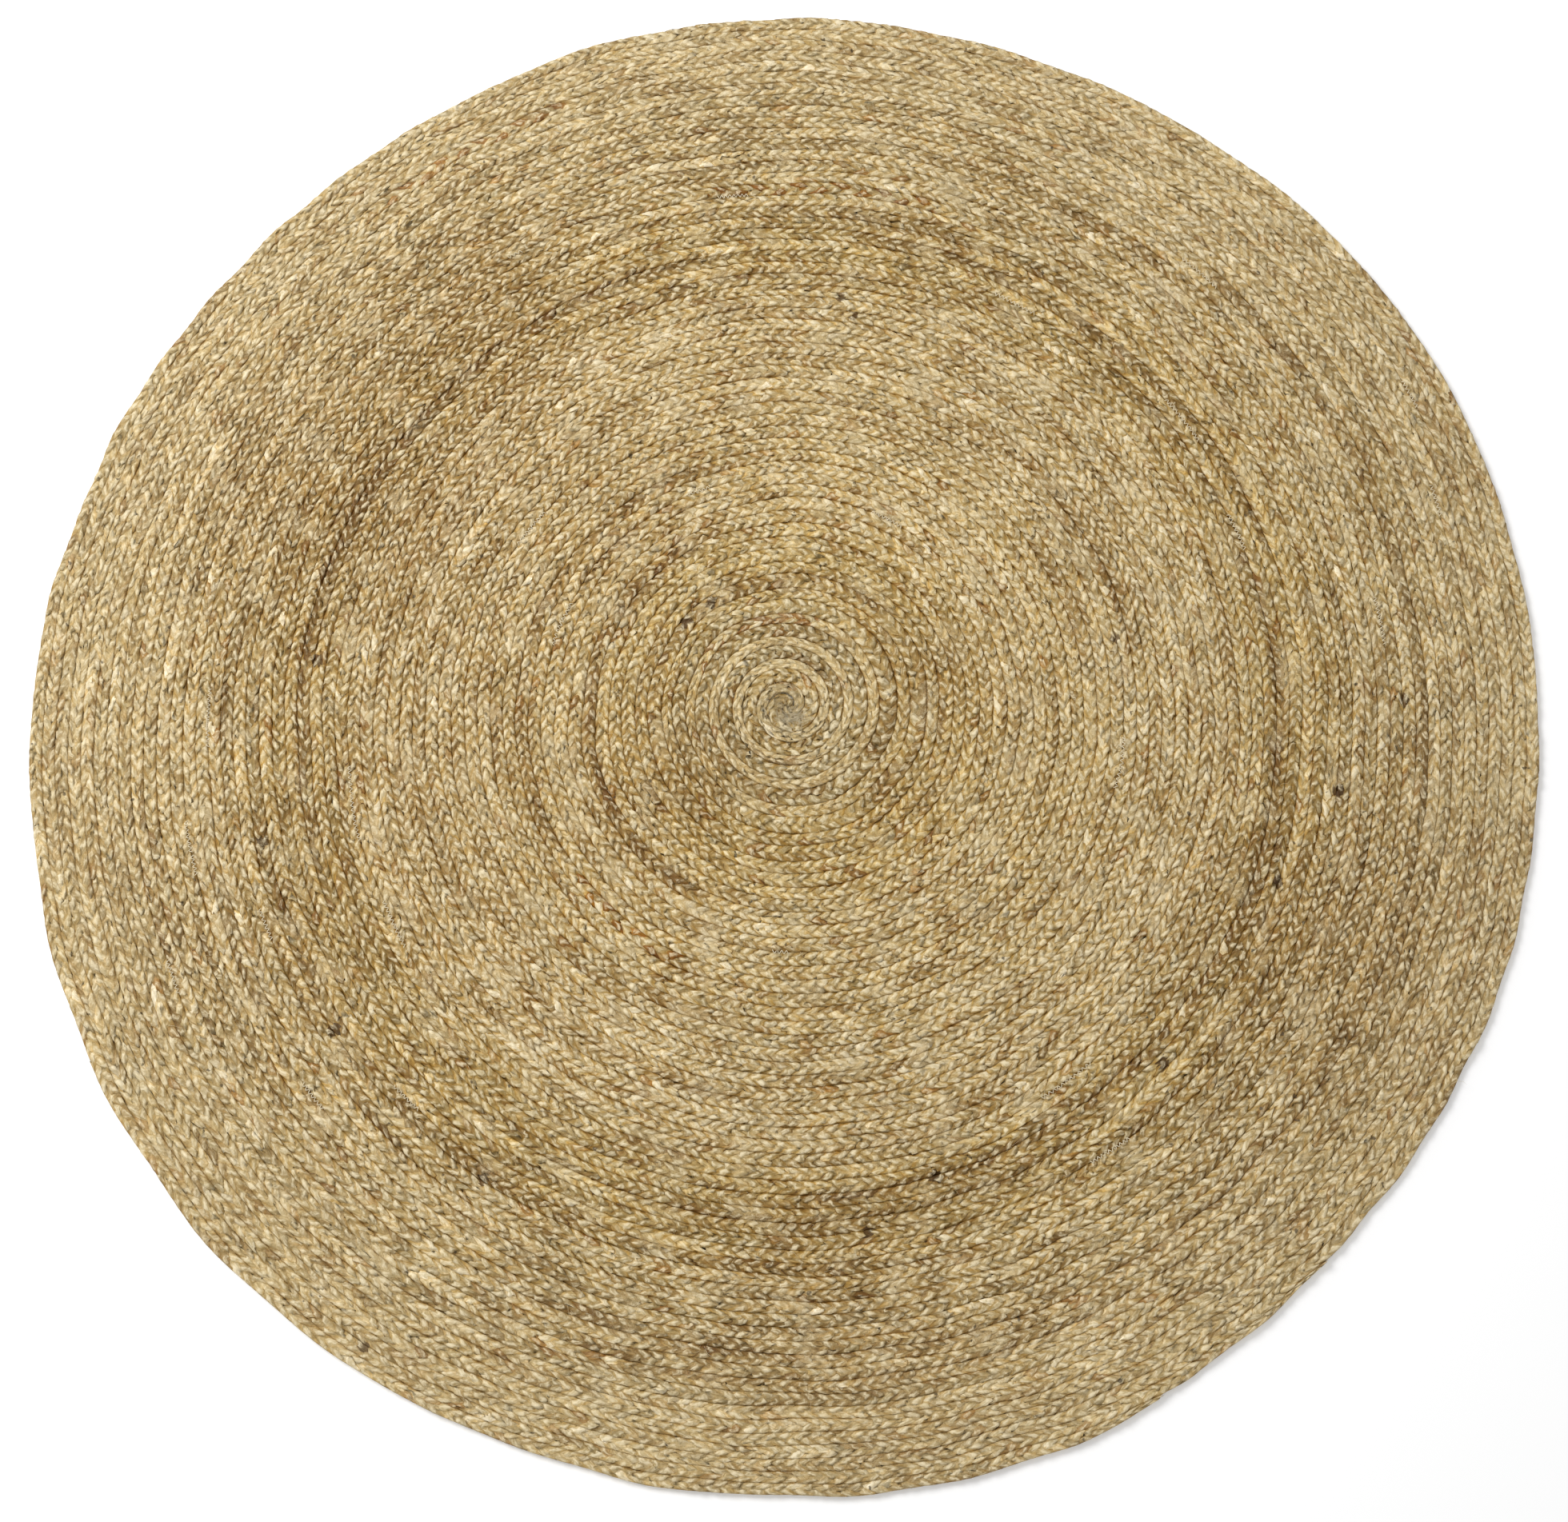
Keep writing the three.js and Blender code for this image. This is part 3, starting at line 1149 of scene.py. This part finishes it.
class Wiring:
    """Short ways to add a material's nodes and link them."""

    def __init__(self, material):
        self.nodes = material.node_tree.nodes
        self.links = material.node_tree.links

    def uv_map(self, name):
        node = self.nodes.new("ShaderNodeUVMap")
        node.uv_map = name
        return node.outputs["UV"]

    def feed(self, socket, value):
        """value is another node's output, a colour or a number."""
        if isinstance(value, bpy.types.NodeSocket):
            self.links.new(value, socket)
        elif isinstance(value, np.ndarray):
            socket.default_value = (*value, 1)
        else:
            socket.default_value = value

    def noise(self, vector, scale, detail, stretch=(1, 1, 1)):
        mapping = self.nodes.new("ShaderNodeMapping")
        self.feed(mapping.inputs["Scale"], stretch)
        self.feed(mapping.inputs["Vector"], vector)
        texture = self.nodes.new("ShaderNodeTexNoise")
        self.feed(texture.inputs["Scale"], scale)
        self.feed(texture.inputs["Detail"], detail)
        self.feed(texture.inputs["Vector"], mapping.outputs["Vector"])
        return texture.outputs["Fac"]

    def ramp(self, value, start, end):
        """A soft step from start to end, each a value and the result there."""
        node = self.nodes.new("ShaderNodeMapRange")
        node.interpolation_type = "SMOOTHSTEP"
        for name, (at, result) in (("Min", start), ("Max", end)):
            self.feed(node.inputs["From " + name], at)
            self.feed(node.inputs["To " + name], result)
        self.feed(node.inputs["Value"], value)
        return node.outputs["Result"]

    def mix(self, kind, factor, first, second):
        node = self.nodes.new("ShaderNodeMix")
        node.data_type = "RGBA"
        node.blend_type = kind
        for number, value in zip(MIX_COLOUR_SOCKETS, (factor, first, second)):
            self.feed(node.inputs[number], value)
        return node.outputs[MIX_COLOUR_RESULT]

    def maths(self, operation, *values):
        node = self.nodes.new("ShaderNodeMath")
        node.operation = operation
        for socket, value in zip(node.inputs, values):
            self.feed(socket, value)
        return node.outputs["Value"]

    def product(self, *values):
        total = values[0]
        for value in values[1:]:
            total = self.maths("MULTIPLY", total, value)
        return total


def fibre_colour(jute, tint, streaks, wisps, blotches):
    """The strand's own light and dark bundles of fibres."""
    bright = jute.product(
        jute.ramp(streaks, (0.3, 0.72), (0.7, 1.22)),
        jute.ramp(wisps, (0.3, 0.84), (0.7, 1.18)),
        jute.ramp(blotches, (0.32, 0.86), (0.68, 1.14)),
    )
    grain = jute.nodes.new("ShaderNodeCombineColor")
    for socket, power in zip(grain.inputs, TONE_POWERS):
        jute.feed(socket, jute.maths("POWER", bright, power))
    return jute.mix("MULTIPLY", 1.0, tint, grain.outputs["Color"])


def stitch_shading(jute, colour, edge, along, across, crisp, streaks, spot):
    """Painted shade, golden brown, towards the edges and both ends of a stitch, and a painted
    highlight on its crown.
    """
    clear = jute.ramp(along, (0.1, 0.35), (0.5, 1.0))
    ends = jute.ramp(along, (0.65, 0.0), (1.0, 0.5))
    # painted shade towards the stitch's edges and both its ends
    slope_shade = jute.maths("MAXIMUM", jute.ramp(edge, (0.05, 1.0), (0.8, 0.0)), ends)
    strength = jute.maths("MULTIPLY_ADD", crisp, 0.7, 0.3)
    slope_shade = jute.product(slope_shade, strength, clear)
    colour = jute.mix("MULTIPLY", slope_shade, colour, SLOPE_SHADE)

    # painted highlight on the crown of each stitch
    crown = jute.product(
        jute.ramp(edge, (0.5, 0.0), (0.95, 0.45)),
        jute.ramp(along, (0.6, 1.0), (0.72, 0.0)),
        jute.ramp(streaks, (0.38, 0.3), (0.62, 1.7)),
    )
    colour = jute.mix("MIX", crown, colour, PALE_AND_HIGHLIGHT)

    # painted shade: short dark gaps, deeper on the side where the strand lies over its neighbour
    patchy = jute.ramp(jute.noise(spot, 95.0, 2.0), (0.48, 0.0), (0.66, 0.95))
    lying_over = jute.ramp(across, (0.3, 1.0), (0.7, 0.3))
    gap = jute.ramp(edge, (0.04, 1.0), (0.36, 0.0))
    gap = jute.product(gap, crisp, clear, patchy, lying_over)
    return jute.mix("MIX", gap, colour, GROOVE_SHADE)


def jute_material():
    material = bpy.data.materials.new("jute_fibre")
    material.use_nodes = True
    jute = Wiring(material)
    shader = jute.nodes["Principled BSDF"]
    tint = jute.nodes.new("ShaderNodeVertexColor")
    tint.layer_name = "Tint"
    worn = jute.nodes.new("ShaderNodeAttribute")
    worn.attribute_name = "Worn"
    crisp = jute.maths("SUBTRACT", 1.0, worn.outputs["Fac"])
    spot = jute.nodes.new("ShaderNodeTexCoord").outputs["Object"]
    strand = jute.uv_map("Strand")
    split = jute.nodes.new("ShaderNodeSeparateXYZ")
    jute.feed(split.inputs["Vector"], jute.uv_map("Leaf"))
    along, across = split.outputs["X"], split.outputs["Y"]

    # bundles of fibres, single fibres and thin pale wisps along the strand, then wider unevenness
    streaks = jute.noise(strand, 1.0, 5.0, (170, 640, 1))
    fine = jute.noise(strand, 1.0, 2.0, (500, 3600, 1))
    wisps = jute.noise(strand, 1.0, 2.0, (280, 1150, 1))
    mottle = jute.noise(spot, 60.0, 3.0)
    blotches = jute.noise(spot, 190.0, 3.0)

    # how far from the stitch's edges: 0 on them and 1 in the middle, and then made ragged
    sides = jute.maths("MULTIPLY", jute.maths("PINGPONG", across, 0.5), 2.0)
    edge = jute.maths("MINIMUM", sides, jute.maths("MULTIPLY", along, 5.0))
    edge = jute.maths("ADD", edge, jute.maths("MULTIPLY_ADD", mottle, 0.5, -0.25))
    edge = jute.maths("ADD", edge, jute.maths("MULTIPLY_ADD", blotches, 1.2, -0.6))

    colour = fibre_colour(jute, tint.outputs["Color"], streaks, wisps, blotches)
    colour = stitch_shading(jute, colour, edge, along, across, crisp, streaks, spot)
    # felted patches, where loose fibre hides the stitches
    felt = jute.ramp(jute.noise(spot, 900.0, 2.0), (0.4, 0.1), (0.62, 0.6))
    haze = jute.maths("MULTIPLY", worn.outputs["Fac"], felt)
    colour = jute.mix("MIX", haze, colour, FUZZ)
    # bits of bark and stained fibre
    flecks = jute.ramp(jute.noise(spot, 110.0, 2.0), (0.71, 0.0), (0.76, 0.8))
    colour = jute.mix("MIX", flecks, colour, BARK)
    jute.feed(shader.inputs["Base Color"], colour)

    jute.feed(shader.inputs["Roughness"], jute.ramp(streaks, (0.3, 0.65), (0.7, 0.38)))
    shader.inputs["Specular IOR Level"].default_value = 0.32
    shader.inputs["Specular Tint"].default_value = (1.0, 0.93, 0.78, 1)

    # height in metres: the strand's roundness, its bundles and its single fibres
    rounded = jute.maths("MULTIPLY", jute.maths("SUBTRACT", 2.0, sides), sides)
    height = jute.maths("MULTIPLY", rounded, 0.0005)
    height = jute.maths("MULTIPLY_ADD", streaks, 0.0007, height)
    height = jute.maths("MULTIPLY_ADD", fine, 0.0002, height)
    bump = jute.nodes.new("ShaderNodeBump")
    bump.inputs["Strength"].default_value = 0.8
    bump.inputs["Distance"].default_value = 1.0
    jute.feed(bump.inputs["Height"], height)
    jute.feed(shader.inputs["Normal"], bump.outputs["Normal"])
    return material


# ---- the scene ----

make_camera()
make_floor()
make_light()
jute_fibre = jute_material()
make_winding(jute_fibre)
make_thread(jute_fibre)
make_fibres(jute_fibre)
bpy.context.scene.view_settings.view_transform = "Standard"
